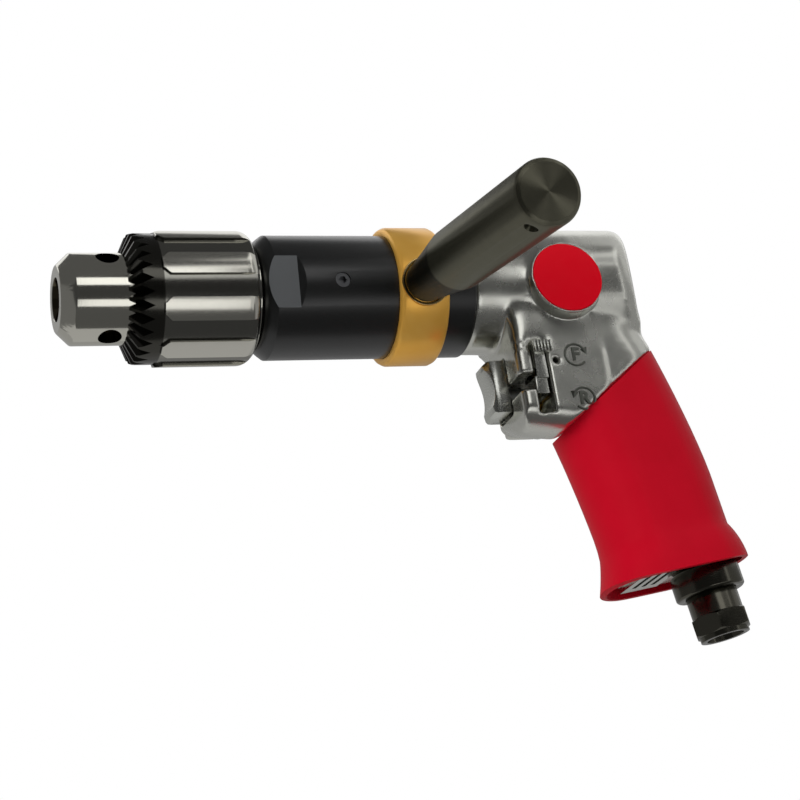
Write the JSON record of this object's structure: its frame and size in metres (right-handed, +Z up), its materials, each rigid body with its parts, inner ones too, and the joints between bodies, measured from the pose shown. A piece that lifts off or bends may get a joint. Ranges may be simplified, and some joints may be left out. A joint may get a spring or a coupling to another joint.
{
  "type": "air drill",
  "caption": "Reversible pistol-grip air drill with a keyed chuck, gold swivel collar, steel side handle and red rubber grip",
  "frame": {"origin": "centre of the chuck's mouth, on the spindle axis", "axes": "+X from the chuck's mouth along the spindle to the back of the motor, +Z up away from the grip, -Y the side that the side handle stands on"},
  "size_m": [0.2112, 0.1417, 0.1408],
  "materials": {
    "polished_aluminium": "polished casting",
    "satin_aluminium": "satin, as machined",
    "black_paint": "satin black",
    "bright_steel": "turned and polished",
    "yellow_zinc": "golden zinc plating",
    "dark_steel": "dark polished",
    "red_rubber": "satin",
    "red_enamel": "glossy red",
    "black_oxide": "black oxide",
    "valve_brass": "machined",
    "felt": "matt",
    "vane_composite": "matt",
    "machine_steel": "ground"
  },
  "bodies": {
    "housing": {"motor_housing": "polished_aluminium", "badge_disc": "red_enamel", "gear_housing": "black_paint", "gear_housing_screw": "black_paint", "ring_gear": "machine_steel", "bearing_spacer": "machine_steel", "bearing_retainer": "machine_steel", "spindle_bearing_outer_rings": "machine_steel", "spindle_bearing_balls": "machine_steel", "motor_spacer": "satin_aluminium", "front_end_plate": "satin_aluminium", "rear_end_plate": "satin_aluminium", "rotor_cylinder": "machine_steel", "cylinder_dowel_pin": "machine_steel", "rotor_bearing_outer_rings": "machine_steel", "rotor_bearing_balls": "machine_steel", "valve_seat": "valve_brass", "valve_spring": "machine_steel", "reverse_valve_pin": "machine_steel", "grip_sleeve": "red_rubber", "exhaust_plate": "satin_aluminium", "muffler_felt": "felt", "inlet_ring": "black_oxide", "inlet_bushing": "black_oxide", "inlet_screen": "machine_steel"},
    "spindle": {"spindle": "machine_steel", "planet_pins_low": "machine_steel", "spindle_bearing_inner_rings": "machine_steel", "chuck_body": "bright_steel", "chuck_screw": "machine_steel"},
    "sleeve": {"chuck_sleeve": "bright_steel", "chuck_nut": "machine_steel"},
    "jaw_1": {"chuck_jaw_1": "bright_steel"},
    "jaw_2": {"chuck_jaw_2": "bright_steel"},
    "jaw_3": {"chuck_jaw_3": "bright_steel"},
    "planet_low_1": {"planet_low_1": "machine_steel"},
    "planet_low_2": {"planet_low_2": "machine_steel"},
    "planet_low_3": {"planet_low_3": "machine_steel"},
    "first_carrier": {"first_carrier": "machine_steel", "planet_pins_high": "machine_steel"},
    "planet_high_1": {"planet_high_1": "machine_steel"},
    "planet_high_2": {"planet_high_2": "machine_steel"},
    "planet_high_3": {"planet_high_3": "machine_steel"},
    "rotor": {"rotor": "machine_steel", "rotor_vanes": "vane_composite", "rotor_bearing_inner_rings": "machine_steel"},
    "trigger": {"trigger": "satin_aluminium", "valve_stem": "bright_steel", "throttle_valve": "valve_brass"},
    "reverse": {"reverse_lever": "satin_aluminium", "reverse_valve": "valve_brass"},
    "collar": {"clamp_collar": "yellow_zinc"},
    "handle": {"side_handle": "dark_steel", "handle_stud": "bright_steel"}
  },
  "joints": [
    {"name": "spindle_spin", "type": "hinge", "parent": "housing", "child": "spindle", "pos_m": [0.07, 0, 0], "axis": [1, 0, 0], "continuous": true},
    {"name": "carrier_spin", "type": "hinge", "parent": "housing", "child": "first_carrier", "pos_m": [0.1038, 0, 0], "axis": [1, 0, 0], "continuous": true},
    {"name": "rotor_spin", "type": "hinge", "parent": "housing", "child": "rotor", "pos_m": [0.153, 0, 0], "axis": [1, 0, 0], "continuous": true},
    {"name": "planet_low_1_spin", "type": "hinge", "parent": "spindle", "child": "planet_low_1", "pos_m": [0.0964, 0, -0.009], "axis": [1, 0, 0], "continuous": true},
    {"name": "planet_low_2_spin", "type": "hinge", "parent": "spindle", "child": "planet_low_2", "pos_m": [0.0964, 0.00779, 0.0045], "axis": [1, 0, 0], "continuous": true},
    {"name": "planet_low_3_spin", "type": "hinge", "parent": "spindle", "child": "planet_low_3", "pos_m": [0.0964, -0.00779, 0.0045], "axis": [1, 0, 0], "continuous": true},
    {"name": "planet_high_1_spin", "type": "hinge", "parent": "first_carrier", "child": "planet_high_1", "pos_m": [0.1112, 0, -0.009], "axis": [1, 0, 0], "continuous": true},
    {"name": "planet_high_2_spin", "type": "hinge", "parent": "first_carrier", "child": "planet_high_2", "pos_m": [0.1112, 0.00779, 0.0045], "axis": [1, 0, 0], "continuous": true},
    {"name": "planet_high_3_spin", "type": "hinge", "parent": "first_carrier", "child": "planet_high_3", "pos_m": [0.1112, -0.00779, 0.0045], "axis": [1, 0, 0], "continuous": true},
    {"name": "sleeve_turn", "type": "hinge", "parent": "spindle", "child": "sleeve", "pos_m": [0.04, 0, 0], "axis": [1, 0, 0], "range_deg": [0, 4040]},
    {"name": "jaw_1_slide", "type": "slide", "parent": "spindle", "child": "jaw_1", "axis": [-0.9659, 0.2441, 0.086], "range_m": [0, 0.0225]},
    {"name": "jaw_2_slide", "type": "slide", "parent": "spindle", "child": "jaw_2", "axis": [-0.9659, -0.1965, 0.1684], "range_m": [0, 0.0225]},
    {"name": "jaw_3_slide", "type": "slide", "parent": "spindle", "child": "jaw_3", "axis": [-0.9659, -0.0476, -0.2544], "range_m": [0, 0.0225]},
    {"name": "trigger_slide", "type": "slide", "parent": "housing", "child": "trigger", "axis": [1, 0, 0], "range_m": [0, 0.0044], "stiffness_N_per_m": 1500, "springref_m": -0.003, "deforming": ["valve_spring"]},
    {"name": "reverse_turn", "type": "hinge", "parent": "housing", "child": "reverse", "pos_m": [0.1465, 0, -0.035], "axis": [1, 0, 0], "range_deg": [0, 18]},
    {"name": "collar_swivel", "type": "hinge", "parent": "housing", "child": "collar", "pos_m": [0.111, 0, 0], "axis": [1, 0, 0], "continuous": true},
    {"name": "handle_unscrew", "type": "hinge", "parent": "collar", "child": "handle", "pos_m": [0.111, 0, 0], "axis": [0, -0.9796, -0.2011], "range_deg": [0, 360]}
  ],
  "couplings": [
    {"joint": "carrier_spin", "follows": "spindle_spin", "ratio": 4},
    {"joint": "rotor_spin", "follows": "spindle_spin", "ratio": 16},
    {"joint": "planet_low_1_spin", "follows": "spindle_spin", "ratio": -3},
    {"joint": "planet_low_2_spin", "follows": "spindle_spin", "ratio": -3},
    {"joint": "planet_low_3_spin", "follows": "spindle_spin", "ratio": -3},
    {"joint": "planet_high_1_spin", "follows": "spindle_spin", "ratio": -12},
    {"joint": "planet_high_2_spin", "follows": "spindle_spin", "ratio": -12},
    {"joint": "planet_high_3_spin", "follows": "spindle_spin", "ratio": -12},
    {"joint": "jaw_1_slide", "follows": "sleeve_turn", "m_per_rad": 0.00031831},
    {"joint": "jaw_2_slide", "follows": "sleeve_turn", "m_per_rad": 0.00031831},
    {"joint": "jaw_3_slide", "follows": "sleeve_turn", "m_per_rad": 0.00031831}
  ]
}
